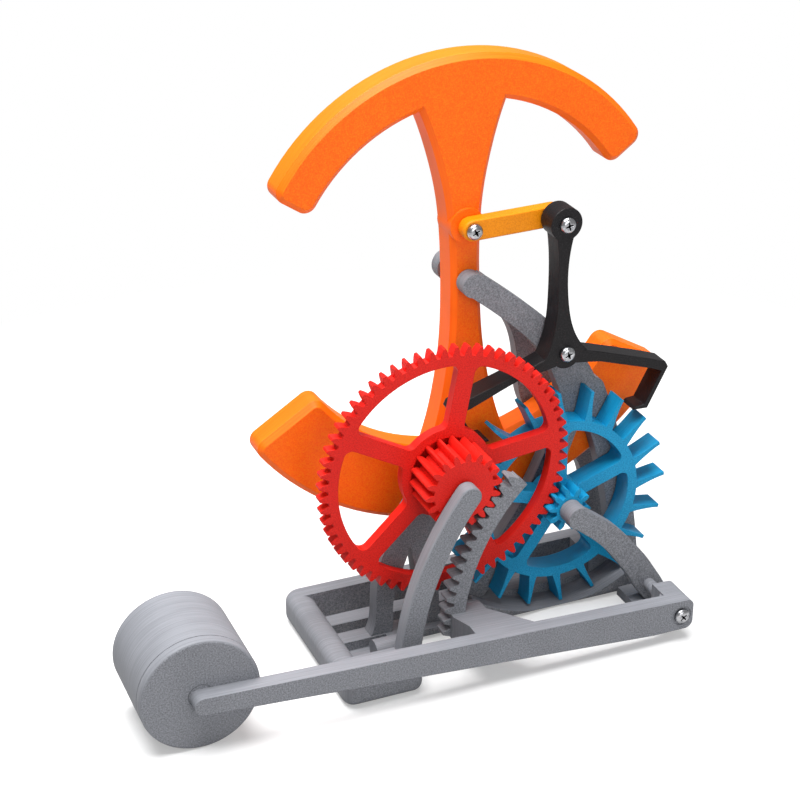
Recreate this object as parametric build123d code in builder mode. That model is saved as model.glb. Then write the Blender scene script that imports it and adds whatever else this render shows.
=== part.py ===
# Printed escapement model: a weighted lever drives a gear train, and a pallet
# fork linked to a tall balance lets the train step round one tooth at a time.
# Millimetres, +Z up, +X towards the lever pivot, +Y away from the viewer.
import math
import os
from build123d import *

os.makedirs("parts", exist_ok=True)

# gears: one module for every mesh
m = 1.4                    # module
n_drive = 64               # drive gear teeth
n_pinion = 18              # pinion on the rack
n_rack = 117               # teeth the rack sector would have on a full circle
n_escape_pinion = 10       # pinion on the escape wheel
n_blades = 20              # blades of the escape wheel
pressure = 20.0

# axes, all parallel to Y, as (x, z)
drive_axis = (0.0, 66.5)
mesh_angle_escape = -26.5
mesh_angle_rack = -36.57
d_escape = m * (n_drive + n_escape_pinion) / 2
d_rack = m * (n_rack + n_pinion) / 2


def polar(c, r, deg):
    return (c[0] + r * math.cos(math.radians(deg)), c[1] + r * math.sin(math.radians(deg)))


escape_axis = polar(drive_axis, d_escape, mesh_angle_escape)
lever_axis = polar(drive_axis, d_rack, mesh_angle_rack)
balance_axis = (15.1, 127.4)
fork_axis = (escape_axis[0], 100.8)
balance_tilt = 1.6         # lean of the balance as modelled
fork_tilt = 2.3            # lean of the fork's stem as modelled
crank = 19.8               # balance axis to link screw
fork_reach = 47.3          # fork axis to link screw
link_low = polar(balance_axis, crank, 90 + balance_tilt)
link_high = polar(fork_axis, fork_reach, 90 + fork_tilt)

# layers along Y: front and back face of each
origin_y = 18.0
bar_y = (-22.0, -16.2)
arm_y = (-7.8, -2.8)       # front arm of the drive axle
rack_y = (-2.4, 2.8)
pinion_y = (-2.0, 12.0)
gear_y = (12.2, 16.0)
arm2_y = (1.5, 6.5)        # front arm of the escape axle
wheel_y = (16.4, 24.4)
escape_pinion_y = (9.0, 16.4)
drive_rear_y = (16.5, 22.5)
mid_y = (25.0, 30.5)       # tall front support
link_y = (25.0, 29.8)
balance_y = (31.0, 43.0)
rear_y = (43.4, 48.4)
base_h = 11.2              # rim of the base
floor_h = 4.4              # low floor inside the rim
lug_h = 3.4                # lug in front of the trough

# fits and fasteners
run = 0.06                 # radial running fit
drive_pin_r = 2.5
escape_pin_r = 2.0
balance_pin_r = 2.5
screw_r = 1.5
head_r = 2.8
head_t = 2.0
tenon_h = 4.6
blade_tip_r = 42.2


def back(y):
    """XZ plane at this y; a positive extrude runs towards the viewer."""
    return Plane.XZ.offset(-y)


def gear_points(n, centre, tip_r, root_r, phase, share=0.46, first=0, count=None):
    """Outline of involute teeth, starting in the gap before tooth number first."""
    rp = n * m / 2
    rb = rp * math.cos(math.radians(pressure))
    inv = lambda a: math.tan(a) - a
    base = math.pi / n * share * 2 / 2
    at_pitch = inv(math.acos(rb / rp))
    pts = []
    for k in range(first, first + (count or n)):
        mid = math.radians(phase) + 2 * math.pi * k / n
        radii = [root_r + (tip_r - root_r) * i / 5 for i in range(6)]
        half = []
        for r in radii:
            a = inv(math.acos(min(1.0, rb / r)))
            half.append(max(0.0, base + at_pitch - a))
        for r, h in zip(radii, half):
            pts.append(polar(centre, r, math.degrees(mid - h)))
        for r, h in reversed(list(zip(radii, half))):
            pts.append(polar(centre, r, math.degrees(mid + h)))
    return pts


def save(builder, name):
    """Write a piece; the origin is under the drive axis, on the base's underside."""
    piece = builder.part.moved(Location((0, -origin_y, 0)))
    piece.label = name
    export_step(piece, "parts/" + name + ".step")


def arc_slot(a, b, c, width):
    """Face of a curved strip with round ends, following the arc a-b-c."""
    e = Edge.make_three_point_arc(Vector(*a), Vector(*b), Vector(*c))
    SlotArc(e, width)


def clear_below(y, z, x=0.0):
    """Cut everything of an upright part under height z, from x - 300 to x + 300."""
    with BuildSketch(back(y[1] + 1)) as low:
        with Locations((x, z - 100)):
            Rectangle(600, 200)
    extrude(to_extrude=low.sketch, amount=y[1] - y[0] + 2, mode=Mode.SUBTRACT)


def tenon(x, y, width, z, peg_h):
    """Screw bore up into an upright part that stands at height z, with a peg where there is room."""
    if peg_h:
        with BuildSketch(Plane.XY.offset(z - peg_h)) as peg:
            with Locations((x, (y[0] + y[1]) / 2)):
                Rectangle(width, y[1] - y[0] - 1.0)
        extrude(to_extrude=peg.sketch, amount=peg_h)
    with BuildSketch(Plane.XY.offset(z - peg_h)) as bore:
        with Locations((x, (y[0] + y[1]) / 2)):
            Circle(screw_r)
    extrude(to_extrude=bore.sketch, amount=12.9 - z + peg_h, mode=Mode.SUBTRACT)


# feet of the uprights: name, x, layer, peg width, height it stands at, peg length
feet = [
    ("drive_arm", -22.6, arm_y, 5.4, base_h, tenon_h),
    ("escape_arm", 79.2, arm2_y, 0.0, lug_h, 0.0),
    ("drive_rear_left", -21.9, drive_rear_y, 0.0, floor_h, 0.0),
    ("drive_rear_right", -3.4, drive_rear_y, 0.0, floor_h, 0.0),
    ("tall_front_left", 14.6, mid_y, 0.0, floor_h, 0.0),
    ("tall_front_right", 78.3, mid_y, 7.6, base_h, tenon_h),
    ("tall_rear", 76.2, rear_y, 6.8, base_h, tenon_h),
]

# base frame: rounded rim, low floor with slots, and a trough for the escape wheel
trough_r, trough_c = 54.0, (44.6, 54.7)
base_x0, base_x1 = -48.6, 84.0
with BuildPart() as base_frame:
    with BuildSketch(Plane.XY) as plan:
        with BuildLine():
            Polyline((base_x0, -15.6), (-19.6, -15.6), (-19.6, -7.5), (-16.9, -5.0), (-16.9, 13.0),
                     (base_x1, 13.0), (base_x1, rear_y[1]), (base_x0, rear_y[1]), close=True)
        make_face()
        fillet(plan.vertices().sort_by_distance((base_x0, -15.6, 0))[0], 4.5)
        fillet(plan.vertices().sort_by_distance((base_x0, rear_y[1], 0))[0], 6.0)
        fillet(plan.vertices().sort_by_distance((-19.6, -15.6, 0))[0], 4.0)
        fillet(plan.vertices().sort_by_distance((base_x1, 13.0, 0))[0], 9.0)
        fillet(plan.vertices().sort_by_distance((base_x1, rear_y[1], 0))[0], 5.0)
    extrude(amount=base_h)
    # rounded outer edges, top and bottom at the left end, top only along the back
    rim = base_frame.edges().filter_by(lambda e: e.center().X < base_x0 + 3.0)
    fillet(rim.group_by(Axis.Z)[0] + rim.group_by(Axis.Z)[-1]
           + base_frame.edges().filter_by(lambda e: e.center().Y > rear_y[1] - 0.1).group_by(Axis.Z)[-1], 3.4)
    # low floor inside the rim, open at the front beside the foot; the left bar is round on its inner side
    with BuildSketch(Plane.XY.offset(floor_h)):
        with BuildLine():
            Polyline((-38.4, -2.0), (6.0, -2.0), (6.0, 15.5), (12.0, 15.5), (12.0, 18.0), (64.0, 18.0),
                     (64.0, 40.4), (-38.4, 40.4), close=True)
        make_face()
    extrude(amount=base_h, mode=Mode.SUBTRACT)
    with BuildSketch(back(40.4)):
        with BuildLine():
            Line((-43.6, base_h), (-43.6, base_h + 1.0))
            Line((-43.6, base_h + 1.0), (-38.0, base_h + 1.0))
            Line((-38.0, base_h + 1.0), (-38.0, base_h - 5.2))
            Line((-38.0, base_h - 5.2), (-38.4, base_h - 5.2))
            ThreePointArc((-38.4, base_h - 5.2), (-39.92, base_h - 1.52), (-43.6, base_h))
        make_face()
    extrude(amount=42.4, mode=Mode.SUBTRACT)
    # slots through the floor, and a deep pocket
    with BuildSketch(Plane.XY):
        with Locations((-14.5, 25.5)):
            Rectangle(45.0, 5.2)
        with Locations((12.8, 37.6)):
            Rectangle(102.4, 5.6)
    extrude(amount=base_h, mode=Mode.SUBTRACT)
    with BuildSketch(Plane.XY.offset(0.8)):
        with Locations((-29.2, 8.0)):
            Rectangle(16.0, 16.2)
    extrude(amount=base_h, mode=Mode.SUBTRACT)
    # boss lying along X behind the front foot
    with BuildSketch(Plane.YZ.offset(-30.0)):
        with Locations((5.6, 6.0)):
            Circle(4.0)
    extrude(amount=13.1)
    # wheel trough, round the escape axis
    with BuildSketch(back(24.9)):
        with Locations(trough_c):
            Circle(trough_r)
    extrude(amount=12.0, mode=Mode.SUBTRACT)
    # low lug that carries the front arm of the escape axle
    with BuildSketch(Plane.XY) as lug:
        with Locations((77.0, 4.2)):
            Rectangle(14.0, 18.4)
        fillet(lug.vertices().group_by(Axis.Y)[0], 3.0)
    extrude(amount=lug_h)
    # sockets for the feet and their screw holes
    for name, x, y, w, z, peg in feet:
        if peg:
            with BuildSketch(Plane.XY.offset(z - peg)):
                with Locations((x, (y[0] + y[1]) / 2)):
                    Rectangle(w, y[1] - y[0] - 1.0)
            extrude(amount=peg + 1, mode=Mode.SUBTRACT)
        with BuildSketch(Plane.XY):
            with Locations((x, (y[0] + y[1]) / 2)):
                Circle(screw_r + 0.05)
        extrude(amount=base_h, mode=Mode.SUBTRACT)
        with BuildSketch(Plane.XY):
            with Locations((x, (y[0] + y[1]) / 2)):
                Circle(2.9)
        extrude(amount=2.3, mode=Mode.SUBTRACT)
save(base_frame, "base_frame")

# screws under the feet
for name, x, y, w, z, peg in feet:
    with BuildPart() as foot_screw:
        with BuildSketch(Plane.XY.offset(0.4)):
            with Locations((x, (y[0] + y[1]) / 2)):
                Circle(head_r - 0.05)
        extrude(amount=1.9)
        with BuildSketch(Plane.XY.offset(0.4)):
            with Locations((x, (y[0] + y[1]) / 2)):
                Circle(screw_r)
        extrude(amount=12.0)
        with BuildSketch(Plane.XY.offset(0.4)):
            with Locations((x, (y[0] + y[1]) / 2)):
                Rectangle(3.2, 0.7)
                Rectangle(0.7, 3.2)
        extrude(amount=1.1, mode=Mode.SUBTRACT)
    save(foot_screw, name + "_foot_screw")

# curved front arm of the drive axle
with BuildPart() as drive_front_arm:
    with BuildSketch(back(arm_y[1])):
        arc_slot(drive_axis, (-14.4, 40.7), (-22.0, 8.0), 7.8)
    extrude(amount=arm_y[1] - arm_y[0])
    clear_below(arm_y, base_h)
    chamfer(drive_front_arm.faces().sort_by(Axis.Y)[0].edges().group_by(Axis.Z)[1:], 0.4)
    tenon(*feet[0][1:])
    with BuildSketch(back(arm_y[1])):
        with Locations(drive_axis):
            Circle(drive_pin_r)
    extrude(amount=3.0, mode=Mode.SUBTRACT)
save(drive_front_arm, "drive_front_arm")

# curved front arm of the escape axle with its boss; the lever's screw is driven into its foot
with BuildPart() as escape_front_arm:
    with BuildSketch(back(arm2_y[1])):
        with BuildLine():
            Spline((49.6, 45.7), (55.3, 41.6), (60.6, 37.4), (65.9, 32.1), (70.3, 26.9), (74.4, 21.6),
                   (78.3, 15.6), (81.8, 10.0), (84.0, lug_h))
            Line((84.0, lug_h), (75.2, lug_h))
            Spline((75.2, lug_h), (71.5, 8.5), (69.0, 12.6), (66.8, 16.3), (63.4, 20.9), (59.1, 26.6),
                   (54.9, 31.3), (50.6, 35.2), (44.4, 40.0))
            Line((44.4, 40.0), (49.6, 45.7))
        make_face()
        with Locations(escape_axis):
            Circle(4.15)
    extrude(amount=arm2_y[1] - arm2_y[0])
    with BuildSketch(back(escape_pinion_y[0] - 0.2)):
        with Locations(escape_axis):
            Circle(4.1)
    extrude(amount=escape_pinion_y[0] - 0.2 - arm2_y[1])
    # spacer round the lever's screw
    with BuildSketch(back(arm2_y[0])):
        with Locations(lever_axis):
            Circle(2.2)
    extrude(amount=arm2_y[0] + 7.7)
    with BuildSketch(back(4.0)):
        with Locations(lever_axis):
            Circle(screw_r)
    extrude(amount=14.0, mode=Mode.SUBTRACT)
    tenon(*feet[1][1:])
    with BuildSketch(back(escape_pinion_y[0])):
        with Locations(escape_axis):
            Circle(escape_pin_r)
    extrude(amount=5.6, mode=Mode.SUBTRACT)
save(escape_front_arm, "escape_front_arm")

# rear support of the drive axle, two legs
with BuildPart() as drive_rear_support:
    with BuildSketch(back(drive_rear_y[1])):
        with BuildLine():
            Line((-18.3, floor_h), (-26.6, floor_h))
            Spline((-26.6, floor_h), (-25.2, 8.0), (-24.6, 15.0), (-23.9, 25.9), (-22.0, 35.8), (-17.0, 45.5),
                   (-10.8, 55.5), (-4.6, 63.2))
            Line((-4.6, 63.2), (3.4, 60.6))
            Spline((3.4, 60.6), (0.2, 50.0), (-1.4, 38.0), (-1.2, 24.0), (-0.4, 12.0), (0.2, floor_h))
            Line((0.2, floor_h), (-7.2, floor_h))
            Spline((-7.2, floor_h), (-8.0, 14.0), (-9.3, 25.0), (-10.8, 34.0), (-11.8, 37.7))
            Spline((-11.8, 37.7), (-14.2, 29.9), (-17.2, 21.9), (-18.1, 12.0), (-18.3, floor_h))
        make_face()
        with Locations(drive_axis):
            Circle(5.8)
    extrude(amount=drive_rear_y[1] - drive_rear_y[0])
    tenon(*feet[2][1:])
    tenon(*feet[3][1:])
    with BuildSketch(back(drive_rear_y[1])):
        with Locations(drive_axis):
            Circle(drive_pin_r)
    extrude(amount=6.5, mode=Mode.SUBTRACT)
save(drive_rear_support, "drive_rear_support")

# tall front support: curved arm to the balance axle, two legs, escape bearing
with BuildPart() as tall_front_support:
    with BuildSketch(back(mid_y[1])) as outline:
        with BuildLine():
            Spline((13.0, 124.4), (21.0, 118.0), (30.0, 110.3), (37.9, 102.5), (46.4, 88.5), (50.6, 76.0))
            Line((50.6, 76.0), (66.3, 76.0))
            Spline((66.3, 76.0), (62.3, 86.4), (53.4, 100.2), (42.0, 111.6), (31.9, 120.3), (18.2, 130.9))
            Line((18.2, 130.9), (13.0, 124.4))
        make_face()
        with Locations(balance_axis):
            Circle(4.2)
        with Locations(fork_axis):
            Circle(5.2)
        arc_slot((56.0, 80.0), (45.6, 51.0), (13.4, 3.0), 9.4)
        arc_slot((61.6, 80.0), (72.6, 46.0), (79.2, 9.0), 10.4)
        with Locations(escape_axis):
            Circle(6.2)
    extrude(amount=mid_y[1] - mid_y[0])
    clear_below(mid_y, floor_h)
    clear_below(mid_y, base_h, 360.0)
    tenon(*feet[4][1:])
    tenon(*feet[5][1:])
    with BuildSketch(back(mid_y[1])):
        with Locations(balance_axis):
            Circle(balance_pin_r)
    extrude(amount=3.5, mode=Mode.SUBTRACT)
    with BuildSketch(back(mid_y[1])):
        with Locations(escape_axis):
            Circle(escape_pin_r)
        with Locations(fork_axis):
            Circle(screw_r)
    extrude(amount=6.0, mode=Mode.SUBTRACT)
save(tall_front_support, "tall_front_support")

# tall rear support behind the balance
with BuildPart() as tall_rear_support:
    with BuildSketch(back(rear_y[1])):
        with BuildLine():
            Spline((13.0, 124.4), (24.4, 114.8), (36.1, 104.1), (40.8, 90.6), (42.6, 74.0), (53.0, 57.0),
                   (66.4, 43.5), (71.1, 29.3), (71.8, base_h))
            Line((71.8, base_h), (80.6, base_h))
            Spline((80.6, base_h), (80.0, 30.0), (76.0, 49.0), (66.0, 74.0), (55.0, 94.0), (36.0, 115.0),
                   (18.2, 130.4))
            Line((18.2, 130.4), (13.0, 124.4))
        make_face()
        with Locations(balance_axis):
            Circle(5.4)
    extrude(amount=rear_y[1] - rear_y[0])
    tenon(*feet[6][1:])
    with BuildSketch(back(rear_y[1])):
        with Locations(balance_axis):
            Circle(balance_pin_r)
    extrude(amount=6.0, mode=Mode.SUBTRACT)
save(tall_rear_support, "tall_rear_support")

# plain steel axles
for name, c, r, y0, y1 in [("drive_axle", drive_axis, drive_pin_r, arm_y[1] - 3.0, drive_rear_y[1]),
                           ("escape_axle", escape_axis, escape_pin_r, escape_pinion_y[0] - 5.6, mid_y[1]),
                           ("balance_axle", balance_axis, balance_pin_r, mid_y[1] - 3.5, rear_y[1])]:
    with BuildPart() as axle:
        with BuildSketch(back(y1)):
            with Locations(c):
                Circle(r)
        extrude(amount=y1 - y0)
        chamfer(axle.edges().filter_by(GeomType.CIRCLE), 0.3)
    save(axle, name)

# pan head cross recess screws: name, axis, seat of the head, end of the shank
for name, c, seat, end in [("lever_screw", lever_axis, bar_y[0] + 0.4, 4.0),
                           ("fork_screw", fork_axis, wheel_y[0], mid_y[1]),
                           ("fork_link_screw", link_high, wheel_y[0], link_y[1]),
                           ("balance_link_screw", link_low, link_y[0] - 0.1, balance_y[1] - 3.0)]:
    with BuildPart() as screw:
        with BuildSketch(back(end)):
            with Locations(c):
                Circle(screw_r)
        extrude(amount=end - seat)
        with BuildSketch(back(seat)):
            with Locations(c):
                Circle(head_r)
        extrude(amount=head_t)
        fillet(screw.faces().sort_by(Axis.Y)[0].edges(), 0.9)
        with BuildSketch(back(seat - head_t + 1.2)):
            with Locations(c):
                Rectangle(3.2, 0.8, rotation=35)
                Rectangle(0.8, 3.2, rotation=35)
        extrude(amount=1.6, mode=Mode.SUBTRACT)
    save(screw, name)

# lever: bar, pivot block, web and toothed sector in one print
bar_top = lambda x: 19.1 - 0.0385 * (x + 0.0)
bar_low = lambda x: 9.4 - 0.0735 * (x + 0.0)
rack_r = n_rack * m / 2
rack_tip, rack_root, rack_inner = rack_r + m, rack_r - 1.25 * m, rack_r - 6.4
pitch = 360.0 / n_rack
# the tooth spaces of the sector face the pinion's teeth on the line of centres
rack_phase = 180 + mesh_angle_rack + pitch / 2
rack_first, rack_count = -3, 15
block_x = 71.6
with BuildPart() as lever_arm:
    with BuildSketch(back(bar_y[1])) as side:
        with BuildLine():
            Polyline((-99.0, bar_top(-99)), (block_x, bar_top(block_x)), (block_x, 4.6), (65.2, 4.6),
                     (-99.0, bar_low(-99)), close=True)
        make_face()
        with Locations((-99.0, (bar_top(-99) + bar_low(-99)) / 2)):
            Circle((bar_top(-99) - bar_low(-99)) / 2)
    extrude(amount=bar_y[1] - bar_y[0])
    # pivot block, deeper than the bar
    with BuildSketch(back(-8.0)) as block:
        with BuildLine():
            Polyline((block_x, bar_top(block_x)), (80.5, bar_top(80.5)), (80.5, 4.6), (block_x, 4.6),
                     close=True)
        make_face()
        fillet(block.vertices().sort_by_distance((80.5, 15.6, 0))[0], 2.6)
        fillet(block.vertices().sort_by_distance((80.5, 4.6, 0))[0], 3.0)
    extrude(amount=-8.0 - bar_y[0])
    with BuildSketch(Plane.XY.offset(5.0)):
        with BuildLine():
            Line((66.6, -16.8), (72.2, -16.8))
            Line((72.2, -16.8), (72.2, -11.4))
            ThreePointArc((72.2, -11.4), (70.6, -14.9), (66.6, -16.8))
        make_face()
    extrude(amount=10.6)
    # web that carries the sector, its top and bottom in line with the bar
    with BuildSketch(back(rack_y[1])):
        with BuildLine():
            Polyline((-4.4, bar_top(-4.4)), (21.5, bar_top(21.5)), (21.5, bar_low(21.5)),
                     (-4.4, bar_low(-4.4)), close=True)
        make_face()
    extrude(amount=rack_y[1] - bar_y[1] + 2.0)
    with BuildSketch(Plane.XY.offset(-1.0)):
        with BuildLine():
            Polyline((8.6, 5.0), (8.6, -2.6), (20.6, bar_y[1]), (24.0, bar_y[1]), (24.0, 5.0), close=True)
        make_face()
        with BuildLine():
            Polyline((-10.0, bar_y[1]), (-1.6, bar_y[1]), (-1.6, -11.4), (-4.4, -4.4), (-10.0, -4.4),
                     close=True)
        make_face()
    extrude(amount=40, mode=Mode.SUBTRACT)
    # toothed sector round the lever pivot
    with BuildSketch(back(rack_y[1])):
        teeth = gear_points(n_rack, lever_axis, rack_tip, rack_root, rack_phase, first=rack_first,
                            count=rack_count)
        a0 = rack_phase + pitch * (rack_first - 0.5)
        a1 = rack_phase + pitch * (rack_first + rack_count - 1 + 0.45)
        with BuildLine():
            Polyline(polar(lever_axis, rack_inner, a0), polar(lever_axis, rack_root, a0), *teeth,
                     polar(lever_axis, rack_root, a1), polar(lever_axis, rack_inner, a1))
            ThreePointArc(polar(lever_axis, rack_inner, a1), polar(lever_axis, rack_inner, (a0 + a1) / 2),
                          polar(lever_axis, rack_inner, a0))
        make_face()
    extrude(amount=rack_y[1] - rack_y[0])
    # running bore and head recess of the pivot screw
    with BuildSketch(back(-8.0)):
        with Locations(lever_axis):
            Circle(screw_r + run)
    extrude(amount=14.0, mode=Mode.SUBTRACT)
    with BuildSketch(back(bar_y[0] + 0.4)):
        with Locations(lever_axis):
            Circle(3.7)
    extrude(amount=2.0, mode=Mode.SUBTRACT)
    # spigot into the weight
    with BuildSketch(back(-12.6)):
        with Locations((-98.4, 20.3)):
            Circle(4.0)
    extrude(amount=12.6 - 16.2 + 7.2)
save(lever_arm, "lever_arm")

# weight: cap, hollow drum and a steel slug inside
weight_c = (-98.4, 20.3)
weight_r = 20.3
with BuildPart() as weight_cap:
    with BuildSketch(back(-12.6)):
        with Locations(weight_c):
            Circle(weight_r)
    extrude(amount=3.6)
    chamfer(weight_cap.edges().group_by(Axis.Y)[0], 0.6)
    with BuildSketch(back(-12.6)):
        with Locations(weight_c):
            Circle(4.0)
    extrude(amount=5.0, mode=Mode.SUBTRACT)
save(weight_cap, "weight_cap")

with BuildPart() as weight_drum:
    with BuildSketch(back(16.9)):
        with Locations(weight_c):
            Circle(weight_r)
    extrude(amount=29.5)
    chamfer(weight_drum.edges().group_by(Axis.Y)[-1], 0.8)
    with BuildSketch(back(13.4)):
        with Locations(weight_c):
            Circle(16.5)
    extrude(amount=27.0, mode=Mode.SUBTRACT)
save(weight_drum, "weight_drum")

with BuildPart() as weight_core:
    with BuildSketch(back(13.4)):
        with Locations(weight_c):
            Circle(16.45)
    extrude(amount=26.0)
save(weight_core, "weight_core")

# pinion on the rack, with the ratchet wheel at its back
ratchet_r, ratchet_n = 9.6, 12
pinion_phase = mesh_angle_rack
with BuildPart() as rack_pinion:
    with BuildSketch(back(pinion_y[1])):
        with BuildLine():
            Polyline(*gear_points(n_pinion, drive_axis, n_pinion * m / 2 + m, n_pinion * m / 2 - 1.25 * m,
                                  pinion_phase), close=True)
        make_face()
    extrude(amount=pinion_y[1] - pinion_y[0])
    with BuildSketch(back(gear_y[0] + 2.2)):
        saw = []
        for k in range(ratchet_n):
            a = 360.0 / ratchet_n * k
            saw += [polar(drive_axis, ratchet_r, a), polar(drive_axis, ratchet_r - 1.6, a + 1.0)]
        with BuildLine():
            Polyline(*saw, close=True)
        make_face()
    extrude(amount=gear_y[0] + 2.2 - pinion_y[1])
    with BuildSketch(back(gear_y[0] + 2.2)):
        with Locations(drive_axis):
            Circle(drive_pin_r + run)
    extrude(amount=30.0, mode=Mode.SUBTRACT)
save(rack_pinion, "rack_pinion")

# drive gear: thin rim, five spokes, ratchet cup with two pawls in the hub
gear_phase = mesh_angle_escape
rim_in = 39.6
hub_r = 16.6
with BuildPart() as drive_gear:
    with BuildSketch(back(gear_y[1])) as face:
        with BuildLine():
            Polyline(*gear_points(n_drive, drive_axis, n_drive * m / 2 + m, n_drive * m / 2 - 1.25 * m,
                                  gear_phase), close=True)
        make_face()
        with Locations(drive_axis):
            Circle(rim_in, mode=Mode.SUBTRACT)
        with Locations(drive_axis):
            Circle(hub_r)
        for k in range(5):
            with Locations(Location((drive_axis[0], drive_axis[1]), 7.5 + 72 * k)):
                with Locations((28.2, 0)):
                    Rectangle(24.6, 6.2)
        fillet(face.vertices().filter_by(
            lambda v: rim_in - 0.8 < math.hypot(v.X - drive_axis[0], v.Y - drive_axis[1]) < rim_in + 0.8
            or hub_r - 0.8 < math.hypot(v.X - drive_axis[0], v.Y - drive_axis[1]) < hub_r + 0.8), 2.6)
    extrude(amount=gear_y[1] - gear_y[0])
    with BuildSketch(back(gear_y[0] + 2.5)):
        with Locations(drive_axis):
            Circle(13.2)
    extrude(amount=3.0, mode=Mode.SUBTRACT)
    with BuildSketch(back(gear_y[0] + 2.5)):
        for a in (40, 220):
            with BuildLine():
                Polyline(polar(drive_axis, 13.4, a), polar(drive_axis, 13.4, a + 14),
                         polar(drive_axis, 9.9, a - 24), polar(drive_axis, 9.9, a - 30), close=True)
            make_face()
    extrude(amount=2.3)
    with BuildSketch(back(drive_rear_y[0] - 0.15)):
        with Locations(drive_axis):
            Circle(5.0)
    extrude(amount=drive_rear_y[0] - 0.15 - gear_y[1])
    with BuildSketch(back(drive_rear_y[0])):
        with Locations(drive_axis):
            Circle(drive_pin_r + run)
    extrude(amount=14.0, mode=Mode.SUBTRACT)
save(drive_gear, "drive_gear")

# escape wheel: pinion, hub, five spokes, rim and twenty leaning blades
blade_phase = 2.7
wheel_root, wheel_in = 31.0, 27.3


def blade(k):
    """Outline of one blade: thin, leaning the way the wheel turns."""
    tip = blade_phase + 18.0 * k
    left, right = [], []
    for i in range(7):
        u = i / 6.0
        r = wheel_root - 1.0 + (blade_tip_r - wheel_root + 1.0) * u
        a = tip - 3.6 * (1 - u) ** 1.4
        half = 0.62 + 1.15 * (1 - u) ** 2.2
        left.append(polar(escape_axis, r, a + math.degrees(half / r)))
        right.append(polar(escape_axis, r, a - math.degrees(half / r)))
    return right + left[::-1]


with BuildPart() as escape_wheel:
    with BuildSketch(back(wheel_y[1])) as web:
        with Locations(escape_axis):
            Circle(wheel_root)
            Circle(wheel_in, mode=Mode.SUBTRACT)
            Circle(8.4)
        for k in range(5):
            with Locations(Location((escape_axis[0], escape_axis[1]), 19.0 + 72 * k)):
                with Locations((17.6, 0)):
                    Rectangle(20.6, 4.8)
        fillet(web.vertices().filter_by(
            lambda v: wheel_in - 0.8 < math.hypot(v.X - escape_axis[0], v.Y - escape_axis[1]) < wheel_in + 0.8),
            2.4)
    extrude(amount=wheel_y[1] - wheel_y[0])
    with BuildSketch(back(wheel_y[1])):
        for k in range(n_blades):
            with BuildLine():
                Polyline(*blade(k), close=True)
            make_face()
    extrude(amount=wheel_y[1] - wheel_y[0])
    with BuildSketch(back(escape_pinion_y[1])):
        with BuildLine():
            Polyline(*gear_points(n_escape_pinion, escape_axis, n_escape_pinion * m / 2 + m,
                                  n_escape_pinion * m / 2 - 1.25 * m,
                                  180 + mesh_angle_escape + 18.0, share=0.42), close=True)
        make_face()
    extrude(amount=escape_pinion_y[1] - escape_pinion_y[0])
    with BuildSketch(back(wheel_y[1])):
        with Locations(escape_axis):
            Circle(escape_pin_r + run)
    extrude(amount=20.0, mode=Mode.SUBTRACT)
save(escape_wheel, "escape_wheel")

# pallet fork: stem up to the link, two arms down to thin pallets
fx, fz = fork_axis
with BuildPart() as pallet_fork:
    with BuildSketch(back(wheel_y[1])) as shape:
        with BuildLine():
            Spline((fx - 6.2, 149.0), (42.0, 136.0), (42.3, 122.0), (41.2, 108.3), (38.0, 99.6))
            Line((38.0, 99.6), (54.4, 100.9))
            Spline((54.4, 100.9), (48.8, 109.5), (46.4, 120.0), (45.9, 134.0), (fx + 2.6, 149.0))
            Line((fx + 2.6, 149.0), (fx - 6.2, 149.0))
        make_face()
        with Locations(link_high):
            Circle(5.8)
        with Locations(fork_axis):
            Circle(5.6)
        with BuildLine():
            Polyline((50.0, 101.9), (59.4, 99.2), (80.2, 92.7), (86.0, 90.6), (87.1, 88.6), (79.6, 73.6),
                     (74.0, 73.8), (75.0, 74.9), (78.4, 75.2), (84.6, 87.2), (80.5, 88.9), (59.6, 95.4),
                     (50.0, 96.6), close=True)
        make_face()
        with BuildLine():
            Polyline((42.6, 101.6), (33.7, 98.1), (8.2, 89.7), (4.6, 88.2), (3.7, 86.2), (12.4, 71.8),
                     (17.9, 72.9), (16.8, 73.9), (13.6, 73.4), (6.4, 85.4), (10.6, 86.5), (28.6, 93.9),
                     (42.6, 96.4), close=True)
        make_face()
    extrude(amount=wheel_y[1] - wheel_y[0])
    with BuildSketch(back(wheel_y[1])):
        with Locations(fork_axis):
            Circle(screw_r + run)
        with Locations(link_high):
            Circle(screw_r)
    extrude(amount=12.0, mode=Mode.SUBTRACT)
save(pallet_fork, "pallet_fork")

# link between balance and fork
with BuildPart() as link:
    with BuildSketch(back(link_y[1])):
        dx, dz = link_high[0] - link_low[0], link_high[1] - link_low[1]
        with Locations(Location(((link_low[0] + link_high[0]) / 2, (link_low[1] + link_high[1]) / 2),
                                math.degrees(math.atan2(dz, dx)))):
            SlotCenterToCenter(math.hypot(dx, dz), 7.4)
    extrude(amount=link_y[1] - link_y[0])
    chamfer(link.edges().group_by(Axis.Y)[0] + link.edges().group_by(Axis.Y)[-1], 0.4)
    with BuildSketch(back(link_y[1])):
        with Locations(link_low):
            Circle(screw_r + run)
        with Locations(link_high):
            Circle(screw_r + 0.5)
    extrude(amount=6.0, mode=Mode.SUBTRACT)
save(link, "link")

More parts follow.
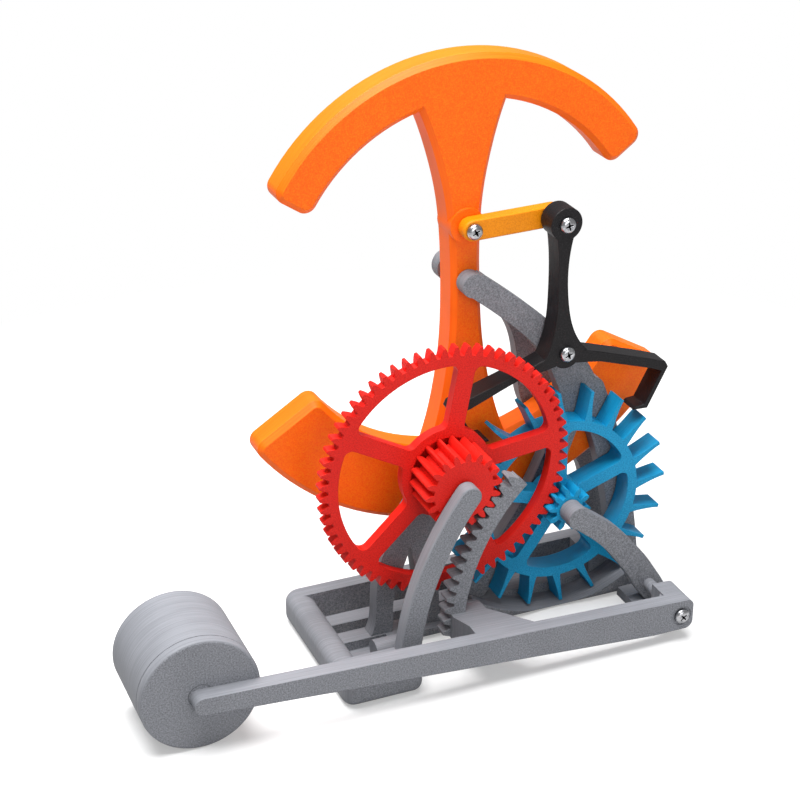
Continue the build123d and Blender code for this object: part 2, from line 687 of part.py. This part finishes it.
# balance: top arc, heavier bottom arc and waisted stem, edges bevelled
top_r, top_in = 77.6, 62.6
low_c = (balance_axis[0] + 0.1, balance_axis[1] + 3.0)
low_r, low_in = 93.2, 65.4
up = 90 + balance_tilt
with BuildPart() as balance:
    with BuildSketch(back(balance_y[1])) as body:
        with BuildLine():
            ThreePointArc(polar(balance_axis, top_r, up - 59.0), polar(balance_axis, top_r, up),
                          polar(balance_axis, top_r, up + 59.0))
            Line(polar(balance_axis, top_r, up + 59.0), polar(balance_axis, top_in, up + 60.0))
            ThreePointArc(polar(balance_axis, top_in, up + 60.0), polar(balance_axis, top_in, up),
                          polar(balance_axis, top_in, up - 60.0))
            Line(polar(balance_axis, top_in, up - 60.0), polar(balance_axis, top_r, up - 59.0))
        make_face()
        with BuildLine():
            ThreePointArc(polar(low_c, low_r, up + 180 - 57.6), polar(low_c, low_r, up + 180),
                          polar(low_c, low_r, up + 180 + 57.6))
            Line(polar(low_c, low_r, up + 180 + 57.6), polar(low_c, low_in, up + 180 + 57.0))
            ThreePointArc(polar(low_c, low_in, up + 180 + 57.0), polar(low_c, low_in, up + 180),
                          polar(low_c, low_in, up + 180 - 57.0))
            Line(polar(low_c, low_in, up + 180 - 57.0), polar(low_c, low_r, up + 180 - 57.6))
        make_face()
        fillet(body.vertices(), 4.0)
        half = [(-63.5, 15.6), (-54.0, 12.2), (-40.0, 8.8), (-24.0, 6.4), (-8.0, 5.5), (8.0, 5.4),
                (20.0, 5.9), (30.0, 7.0), (44.0, 10.0), (57.0, 14.0), (65.5, 17.6)]
        turn = lambda u, v: polar(polar(balance_axis, v, up), -u, up + 90)
        with BuildLine():
            Spline(*[turn(-w, v) for v, w in half])
            Line(turn(-half[-1][1], half[-1][0]), turn(half[-1][1], half[-1][0]))
            Spline(*[turn(w, v) for v, w in reversed(half)])
            Line(turn(half[0][1], half[0][0]), turn(-half[0][1], half[0][0]))
        make_face()
    extrude(amount=balance_y[1] - balance_y[0])
    chamfer(balance.edges().group_by(Axis.Y)[0] + balance.edges().group_by(Axis.Y)[-1], 1.8)
    with BuildSketch(back(balance_y[1] - 2.0)):
        with Locations(link_low):
            Circle(6.2)
    extrude(amount=balance_y[1] - 2.0 - 30.1)
    with BuildSketch(back(balance_y[1] - 3.0)):
        with Locations(link_low):
            Circle(screw_r)
    extrude(amount=12.0, mode=Mode.SUBTRACT)
    with BuildSketch(back(balance_y[1])):
        with Locations(balance_axis):
            Circle(balance_pin_r + run)
    extrude(amount=12.0, mode=Mode.SUBTRACT)
save(balance, "balance")
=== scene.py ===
# Printed escapement model on a pale studio ground.
# Every piece is a plastic print except the screws and axles, which are steel.
import bpy, bmesh, math
from mathutils import Vector, Matrix


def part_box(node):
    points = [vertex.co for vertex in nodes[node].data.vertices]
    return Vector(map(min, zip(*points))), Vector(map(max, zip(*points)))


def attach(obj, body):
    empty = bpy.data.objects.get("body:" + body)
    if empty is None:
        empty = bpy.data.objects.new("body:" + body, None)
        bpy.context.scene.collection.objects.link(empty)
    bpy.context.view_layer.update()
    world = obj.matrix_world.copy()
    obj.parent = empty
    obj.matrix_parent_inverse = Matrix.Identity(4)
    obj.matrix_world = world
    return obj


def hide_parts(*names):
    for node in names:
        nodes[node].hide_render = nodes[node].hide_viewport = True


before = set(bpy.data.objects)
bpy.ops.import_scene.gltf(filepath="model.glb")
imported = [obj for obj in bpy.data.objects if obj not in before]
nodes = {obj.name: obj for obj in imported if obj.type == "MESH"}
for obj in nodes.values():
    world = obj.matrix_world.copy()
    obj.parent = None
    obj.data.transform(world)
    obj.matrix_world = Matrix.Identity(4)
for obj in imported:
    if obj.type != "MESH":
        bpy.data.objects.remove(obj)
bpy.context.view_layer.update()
MM = 0.001
SMOOTH_DEG = 38.0          # edges turning less than this are shaded smooth


# Small helpers
def lin(hexcode):
    """sRGB hex to linear RGBA."""
    h = hexcode.lstrip("#")
    out = []
    for i in (0, 2, 4):
        c = int(h[i:i + 2], 16) / 255.0
        out.append(c / 12.92 if c <= 0.04045 else ((c + 0.055) / 1.055) ** 2.4)
    return (*out, 1.0)


def nd(tree, kind, **inputs):
    """Adds a node. A keyword that starts with an underscore is a property of the node,
    i0, i1 and so on are inputs by number, and a double underscore stands for a space."""
    n = tree.nodes.new(kind)
    for k, v in inputs.items():
        if k.startswith("_"):
            setattr(n, k[1:], v)
            continue
        key = int(k[1:]) if k[0] == "i" and k[1:].isdigit() else k.replace("__", " ")
        if isinstance(v, bpy.types.NodeSocket):
            tree.links.new(v, n.inputs[key])
        else:
            n.inputs[key].default_value = v
    return n


def new_tree(owner):
    owner.use_nodes = True
    owner.node_tree.nodes.clear()
    return owner.node_tree


def finish_material(tree, shader):
    out = nd(tree, "ShaderNodeOutputMaterial")
    tree.links.new(shader.outputs[0], out.inputs["Surface"])


def two_tone(tree, fac, low, dark, high, light):
    """A colour ramp from dark at low to light at high."""
    ramp = nd(tree, "ShaderNodeValToRGB", Fac=fac)
    ends = ramp.color_ramp.elements
    ends[0].position, ends[0].color = low, lin(dark)
    ends[1].position, ends[1].color = high, lin(light)
    return ramp


def add_object(name, mesh):
    ob = bpy.data.objects.new(name, mesh)
    bpy.context.scene.collection.objects.link(ob)
    return ob


# Printed plastics
LAYER_FREQ = 3300.0        # across the layers, per metre of the part
ALONG_FREQ = 40.0          # along them
PEBBLE_SCALE, FINE_SCALE, CLOUD_SCALE = 1900.0, 2500.0, 70.0
PRINT_IOR, PRINT_SPECULAR = 1.46, 0.3


def print_material(name, base, dark, light, rough=0.5, grain=1.0, glow=0.0):
    """Fused filament print, built up along Y. Its walls show fine layer lines, and its
    front and back carry the pebbled grain of the print bed."""
    mat = bpy.data.materials.new(name)
    t = new_tree(mat)
    coords = nd(t, "ShaderNodeTexCoord")
    pos, nor = coords.outputs["Object"], coords.outputs["Normal"]
    # how far the surface faces along the build direction: 1 on the front and back
    comp = nd(t, "ShaderNodeSeparateXYZ", Vector=nor).outputs["Y"]
    flat = nd(t, "ShaderNodeMath", _operation="ABSOLUTE", i0=comp).outputs[0]
    flat = nd(t, "ShaderNodeMapRange", i0=flat, i1=0.8, i2=0.97, i3=0.0, i4=1.0).outputs[0]
    # layer lines, about 0.3 mm apart, stretched round the part
    stretch = (ALONG_FREQ, LAYER_FREQ, ALONG_FREQ)
    lay_v = nd(t, "ShaderNodeVectorMath", _operation="MULTIPLY", i0=pos, i1=stretch).outputs[0]
    layers = nd(t, "ShaderNodeTexNoise", Vector=lay_v, Scale=1.0, Detail=2.0,
                Roughness=0.6).outputs[0]
    layers = nd(t, "ShaderNodeMapRange", i0=layers, i1=0.0, i2=1.0, i3=0.3, i4=0.7).outputs[0]
    # pebbled bed grain, about 0.5 mm
    pebble = nd(t, "ShaderNodeTexNoise", Vector=pos, Scale=PEBBLE_SCALE, Detail=2.5,
                Roughness=0.62).outputs[0]
    fine = nd(t, "ShaderNodeTexVoronoi", Vector=pos, Scale=FINE_SCALE).outputs[0]
    cloud = nd(t, "ShaderNodeTexNoise", Vector=pos, Scale=CLOUD_SCALE, Detail=3.0).outputs[0]
    # colour: base, slightly darker in the pits and lines, lighter on the crests
    height = nd(t, "ShaderNodeMix", i0=flat, i2=layers, i3=pebble).outputs[0]
    ramp = two_tone(t, height, 0.33, dark, 0.70, light)
    middle = ramp.color_ramp.elements.new(0.5)
    middle.color = lin(base)
    shade = nd(t, "ShaderNodeMapRange", i0=cloud, i1=0.3, i2=0.7, i3=0.95, i4=1.04).outputs[0]
    col = nd(t, "ShaderNodeVectorMath", _operation="SCALE", i0=ramp.outputs[0],
             i3=shade).outputs[0]
    # relief
    soft = nd(t, "ShaderNodeBevel", _samples=4, Radius=0.35 * MM).outputs[0]
    coarse = nd(t, "ShaderNodeBump", Strength=0.55 * grain, Distance=0.22 * MM, Height=height,
                Normal=soft).outputs[0]
    relief = nd(t, "ShaderNodeBump", Strength=0.22 * grain, Distance=0.1 * MM, Height=fine,
                Normal=coarse).outputs[0]
    rgh = nd(t, "ShaderNodeMapRange", i0=height, i1=0.3, i2=0.7, i3=rough - 0.08,
             i4=rough + 0.1).outputs[0]
    p = nd(t, "ShaderNodeBsdfPrincipled", Base__Color=col, Roughness=rgh, Normal=relief,
           IOR=PRINT_IOR, Specular__IOR__Level=PRINT_SPECULAR, Subsurface__Weight=glow,
           Subsurface__Radius=(0.003, 0.0015, 0.0006), Subsurface__Scale=1.0)
    finish_material(t, p)
    return mat


def steel_material(name, base, rough, brush):
    """Zinc plated or ground steel with faint turning marks. Recesses carry painted shade:
    an ambient occlusion mask darkens the colour in narrow pits."""
    mat = bpy.data.materials.new(name)
    t = new_tree(mat)
    pos = nd(t, "ShaderNodeTexCoord").outputs["Object"]
    marks = nd(t, "ShaderNodeTexNoise", Vector=pos, Scale=brush, Detail=4.0,
               Roughness=0.7).outputs[0]
    tone = two_tone(t, marks, 0.3, "#8E8F94", 0.65, base)
    rgh = nd(t, "ShaderNodeMapRange", i0=marks, i1=0.3, i2=0.7, i3=rough + 0.1,
             i4=rough - 0.05).outputs[0]
    soft = nd(t, "ShaderNodeBevel", _samples=4, Radius=0.15 * MM).outputs[0]
    bump = nd(t, "ShaderNodeBump", Strength=0.15, Distance=0.05 * MM, Height=marks,
              Normal=soft).outputs[0]
    # painted shade: ambient occlusion within 1.6 mm darkens the colour in recesses, such as
    # the screws' cross recess, down to 4 % of the tone
    pit = nd(t, "ShaderNodeAmbientOcclusion", _samples=8, Distance=1.6 * MM).outputs["AO"]
    pit = nd(t, "ShaderNodeMapRange", i0=pit, i1=0.25, i2=0.75, i3=0.04, i4=1.0).outputs[0]
    col = nd(t, "ShaderNodeVectorMath", _operation="SCALE", i0=tone.outputs[0],
             i3=pit).outputs[0]
    p = nd(t, "ShaderNodeBsdfPrincipled", Base__Color=col, Roughness=rgh, Normal=bump,
           Metallic=1.0)
    finish_material(t, p)
    return mat


grey = print_material("grey_print_upright", "#7F8187", "#686A70", "#96989E", 0.55)
red = print_material("red_print", "#DC1C12", "#C4140B", "#E62A1E", 0.5)
blue = print_material("blue_print", "#1092C4", "#0A7DAE", "#2AA3D0", 0.42, 0.8)
black = print_material("black_print", "#171517", "#0E0D0E", "#2A272A", 0.42)
orange = print_material("orange_print", "#FF6A02", "#FA5E00", "#FF7A0A", 0.45, 0.6)
yellow = print_material("yellow_print", "#EE8C06", "#E28304", "#F79A14", 0.4, 0.5)
zinc = steel_material("zinc_steel", "#DCDDE0", 0.22, 900.0)
ground = steel_material("ground_steel", "#C4C5C9", 0.3, 1500.0)


# Prints and plain steel pieces
def eased_copy(node, width):
    """A welded copy of a node's mesh, curved walls shaded smooth. Where width is set, its
    crisp corners are eased by that many mm, as a nozzle leaves them."""
    bm = bmesh.new()
    bm.from_mesh(nodes[node].data)
    bmesh.ops.remove_doubles(bm, verts=bm.verts, dist=0.002 * MM)
    bmesh.ops.dissolve_degenerate(bm, edges=bm.edges, dist=0.004 * MM)
    for e in bm.edges:
        e.smooth = (len(e.link_faces) == 2
                    and e.calc_face_angle(0.0) < math.radians(SMOOTH_DEG))
    for f in bm.faces:
        f.smooth = True
    me = bpy.data.meshes.new(node + "_print")
    bm.to_mesh(me)
    bm.free()
    ob = add_object(node + "_print", me)
    if width > 0:
        bev = ob.modifiers.new("eased", "BEVEL")
        bev.width = width * MM
        bev.segments = 2
        bev.limit_method = "ANGLE"
        bev.angle_limit = math.radians(SMOOTH_DEG)
        bev.harden_normals = False
        bev.use_clamp_overlap = True
        bpy.context.view_layer.objects.active = ob
        dg = bpy.context.evaluated_depsgraph_get()
        done = bpy.data.meshes.new_from_object(ob.evaluated_get(dg))
        ob.modifiers.clear()
        ob.data = done
    return ob


def show(node, body, mat, width=0.0):
    ob = eased_copy(node, width)
    ob.data.materials.clear()
    ob.data.materials.append(mat)
    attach(ob, body)
    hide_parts(node)


# Base: one grey print that carries everything.
show("base_frame", "base", grey, 0.35)

# Uprights: flat grey prints set on edge, pegged into the base and held by
# screws from below.
for name in ("drive_front_arm", "escape_front_arm", "drive_rear_support",
             "tall_front_support", "tall_rear_support"):
    show(name, "base", grey, 0.3)

# Lever: one grey print with the bar, the pivot block and the toothed sector.
show("lever_arm", "lever", grey, 0.25)

# Weight: a thick walled drum and its glued front cap, pushed on the bar's end.
show("weight_drum", "lever", grey, 0.3)
show("weight_cap", "lever", grey, 0.3)
show("weight_core", "lever", ground)

# Gear train: red drive gear with its nested pinion, blue escape wheel. Teeth and
# blades keep their CAD corners, which are too close together to be eased.
show("drive_gear", "gear", red)
show("rack_pinion", "pinion", red)
show("escape_wheel", "wheel", blue)

# Escapement: black pallet fork, golden link and the orange balance.
show("pallet_fork", "fork", black, 0.25)
show("link", "link", yellow)
show("balance", "balance", orange, 0.3)

# Axles: plain ground steel pins, only their ends are ever seen.
for name in ("drive_axle", "escape_axle", "balance_axle"):
    show(name, "base", ground)
for name in nodes:
    if name.endswith("_foot_screw"):
        show(name, "base", zinc)


# Screws
HEAD_T = 2.0 * MM          # head height
SCREW_SEG = 64
THREAD_PITCH = 0.5 * MM
THREAD_R = (1.22 * MM, 1.5 * MM)
# domed head, from the rim at the seat to the crown: share of its radius, height in mm
HEAD_PROFILE = ((0.985, 0.0), (1.0, 0.12), (1.0, 0.75), (0.97, 1.1), (0.90, 1.42),
                (0.80, 1.66), (0.70, 1.79), (0.62, 1.87))
CROSS_SHARE = 0.56         # cross recess, as a share of the head's radius
CROSS_TOP = 1.94
# rings down the recess: share of the cross at a wing and between two wings, then the
# depth in mm at the same two places
RECESS_RINGS = ((0.97, 0.42, 0.05, 0.05), (0.9, 0.312, 0.6, 0.21),
                (0.7, 0.2193333, 1.1, 1.1), (0.35, 0.098, 1.4, 1.4))
PIT_DEPTH = 1.5 * MM


def ring_of(bm, centre, y, radius):
    """Vertices round an axis along Y. radius(angle) gives the radius there and how far
    the vertex lies past y."""
    out = []
    for i in range(SCREW_SEG):
        a = 2 * math.pi * i / SCREW_SEG
        r, dy = radius(a)
        out.append(bm.verts.new((centre.x + r * math.cos(a), y + dy,
                                 centre.z + r * math.sin(a))))
    return out


def skin(bm, a, b, inward=False):
    """Quads between two rings."""
    for i in range(SCREW_SEG):
        j = (i + 1) % SCREW_SEG
        bm.faces.new((a[j], b[j], b[i], a[i]) if inward else (a[i], b[i], b[j], a[j]))


def pan_screw(name, node, body, turn):
    """Cross recess pan head screw: domed head, tapered cross recess with a centre
    pit, and a threaded shank that stays hidden in its bore."""
    lo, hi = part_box(node)
    c = (lo + hi) / 2
    r = (hi.x - lo.x) / 2
    cross = CROSS_SHARE * r
    seat = lo.y + HEAD_T
    bm = bmesh.new()
    rings = [ring_of(bm, c, seat - h * MM, lambda a, s=s: (r * s, 0.0))
             for s, h in HEAD_PROFILE]
    rings.append(ring_of(bm, c, seat - CROSS_TOP * MM, lambda a: (cross, 0.0)))
    for a, b in zip(rings, rings[1:]):
        skin(bm, a, b)

    # four wings stay wide going down, the quarters between them close in
    def recess(wide, narrow, deep, shallow):
        def at(a):
            wing = abs(math.cos(2 * (a - turn))) ** 6
            return (cross * (wide * wing + narrow * (1 - wing)),
                    (deep * wing + shallow * (1 - wing)) * MM)
        return at

    inner = [ring_of(bm, c, lo.y + 0.01 * MM, recess(*row)) for row in RECESS_RINGS]
    for a, b in zip([rings[-1]] + inner, inner):
        skin(bm, a, b)
    pit = bm.verts.new((c.x, lo.y + PIT_DEPTH, c.z))
    for i in range(SCREW_SEG):
        bm.faces.new((inner[-1][i], pit, inner[-1][(i + 1) % SCREW_SEG]))

    # threaded shank
    turns = max(4, int((hi.y - lo.y - HEAD_T) / THREAD_PITCH))
    last = rings[0]
    for k in range(turns * 2 + 1):
        y = min(hi.y, seat + k * THREAD_PITCH / 2)
        ring = ring_of(bm, c, y, lambda a: (THREAD_R[k % 2], 0.0))
        skin(bm, last, ring, inward=True)
        last = ring
    bm.faces.new(list(reversed(last)))
    bmesh.ops.recalc_face_normals(bm, faces=bm.faces)
    for f in bm.faces:
        f.smooth = True
    for e in bm.edges:
        e.smooth = e.calc_face_angle(0.0) < math.radians(40)
    me = bpy.data.meshes.new(name)
    bm.to_mesh(me)
    bm.free()
    me.materials.append(zinc)
    ob = add_object(name, me)
    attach(ob, body)
    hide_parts(node)


pan_screw("lever_pan_screw", "lever_screw", "base", 0.75)
pan_screw("fork_pan_screw", "fork_screw", "base", 0.35)
pan_screw("fork_link_pan_screw", "fork_link_screw", "fork", 0.2)
pan_screw("balance_link_pan_screw", "balance_link_screw", "balance", 0.5)


# Ground
SHEET_SIZE, SHEET_CELLS = 4.0, 24
SHEET_Z = -0.1 * MM
# paper as bounced light meets it and as the camera sees it
PAPER_BOUNCE, PAPER_SEEN = 0.42, 0.9
# within FADE_NEAR the camera sees the lit paper with some white laid over it, and
# beyond FADE_FAR the white of the wall
FADE_NEAR, FADE_FAR, FADE_LEAST = 0.16, 0.34, 0.32


def ground_plane():
    bm = bmesh.new()
    steps = range(SHEET_CELLS + 1)
    grid = [[bm.verts.new(((i / SHEET_CELLS - 0.5) * SHEET_SIZE,
                           (j / SHEET_CELLS - 0.5) * SHEET_SIZE, SHEET_Z)) for j in steps]
            for i in steps]
    for i in range(SHEET_CELLS):
        for j in range(SHEET_CELLS):
            bm.faces.new((grid[i][j], grid[i + 1][j], grid[i + 1][j + 1], grid[i][j + 1]))
    me = bpy.data.meshes.new("ground_sheet")
    bm.to_mesh(me)
    bm.free()
    ob = add_object("ground_sheet", me)
    mat = bpy.data.materials.new("white_paper")
    t = new_tree(mat)
    cam_ray = nd(t, "ShaderNodeLightPath").outputs["Is Camera Ray"]
    paper = nd(t, "ShaderNodeMapRange", i0=cam_ray, i3=PAPER_BOUNCE, i4=PAPER_SEEN).outputs[0]
    p = nd(t, "ShaderNodeBsdfPrincipled", Base__Color=paper, Roughness=0.8)
    pos = nd(t, "ShaderNodeTexCoord").outputs["Object"]
    away = nd(t, "ShaderNodeVectorMath", _operation="LENGTH", i0=pos).outputs["Value"]
    far = nd(t, "ShaderNodeMapRange", i0=away, i1=FADE_NEAR, i2=FADE_FAR, i3=FADE_LEAST,
             i4=1.0).outputs[0]
    fade = nd(t, "ShaderNodeMath", _operation="MULTIPLY", i0=far, i1=cam_ray).outputs[0]
    glow = nd(t, "ShaderNodeEmission", Strength=1.0)
    mix = nd(t, "ShaderNodeMixShader", i0=fade, i1=p.outputs[0], i2=glow.outputs[0])
    finish_material(t, mix)
    me.materials.append(mat)


ground_plane()


# Light: a white wall for the camera, a dim fill for the object
FILL, WALL = 0.30, 1.0


def studio_world():
    world = bpy.data.worlds.new("studio")
    bpy.context.scene.world = world
    t = new_tree(world)
    path = nd(t, "ShaderNodeLightPath")
    seen = nd(t, "ShaderNodeMath", _operation="MAXIMUM", i0=path.outputs["Is Camera Ray"],
              i1=path.outputs["Is Transmission Ray"]).outputs[0]
    fill = nd(t, "ShaderNodeBackground", Strength=FILL, Color=(1, 1, 1, 1))
    wall = nd(t, "ShaderNodeBackground", Strength=WALL, Color=(1, 1, 1, 1))
    mix = nd(t, "ShaderNodeMixShader", i0=seen, i1=fill.outputs[0], i2=wall.outputs[0])
    nd(t, "ShaderNodeOutputWorld", Surface=mix.outputs[0])


def softbox(name, at, aim, size, power):
    la = bpy.data.lights.new(name, "AREA")
    la.shape = "RECTANGLE"
    la.size, la.size_y = size
    la.energy = power
    ob = add_object(name, la)
    ob.location = at
    ob.rotation_euler = (Vector(aim) - Vector(at)).to_track_quat("-Z", "Y").to_euler()


studio_world()
softbox("overhead_box", (-0.10, 0.03, 0.80), (0.0, 0.0, 0.06), (0.7, 0.6), 15.5)
softbox("front_box", (0.05, -0.95, 0.40), (0.0, 0.0, 0.08), (0.6, 0.6), 2.8)


# Camera: place, direction and focal length, in pixels of an 800 pixel picture
CAM_AT = (-0.23097, -0.51160, 0.36824)
CAM_VIEW = (0.34893, 0.82606, -0.44257)
FOCAL_PX, PICTURE_PX, SENSOR_MM = 1860.61, 800.0, 36.0

cam_data = bpy.data.cameras.new("photo_camera")
cam = add_object("photo_camera", cam_data)
cam.location = CAM_AT
view = Vector(CAM_VIEW).normalized()
right = view.cross(Vector((0, 0, 1))).normalized()
up = right.cross(view)
cam.rotation_euler = Matrix((right, up, -view)).transposed().to_euler()
cam_data.sensor_width = SENSOR_MM
cam_data.lens = FOCAL_PX / PICTURE_PX * SENSOR_MM
cam_data.clip_start, cam_data.clip_end = 0.01, 20.0
bpy.context.scene.camera = cam
bpy.context.scene.view_settings.view_transform = "Standard"

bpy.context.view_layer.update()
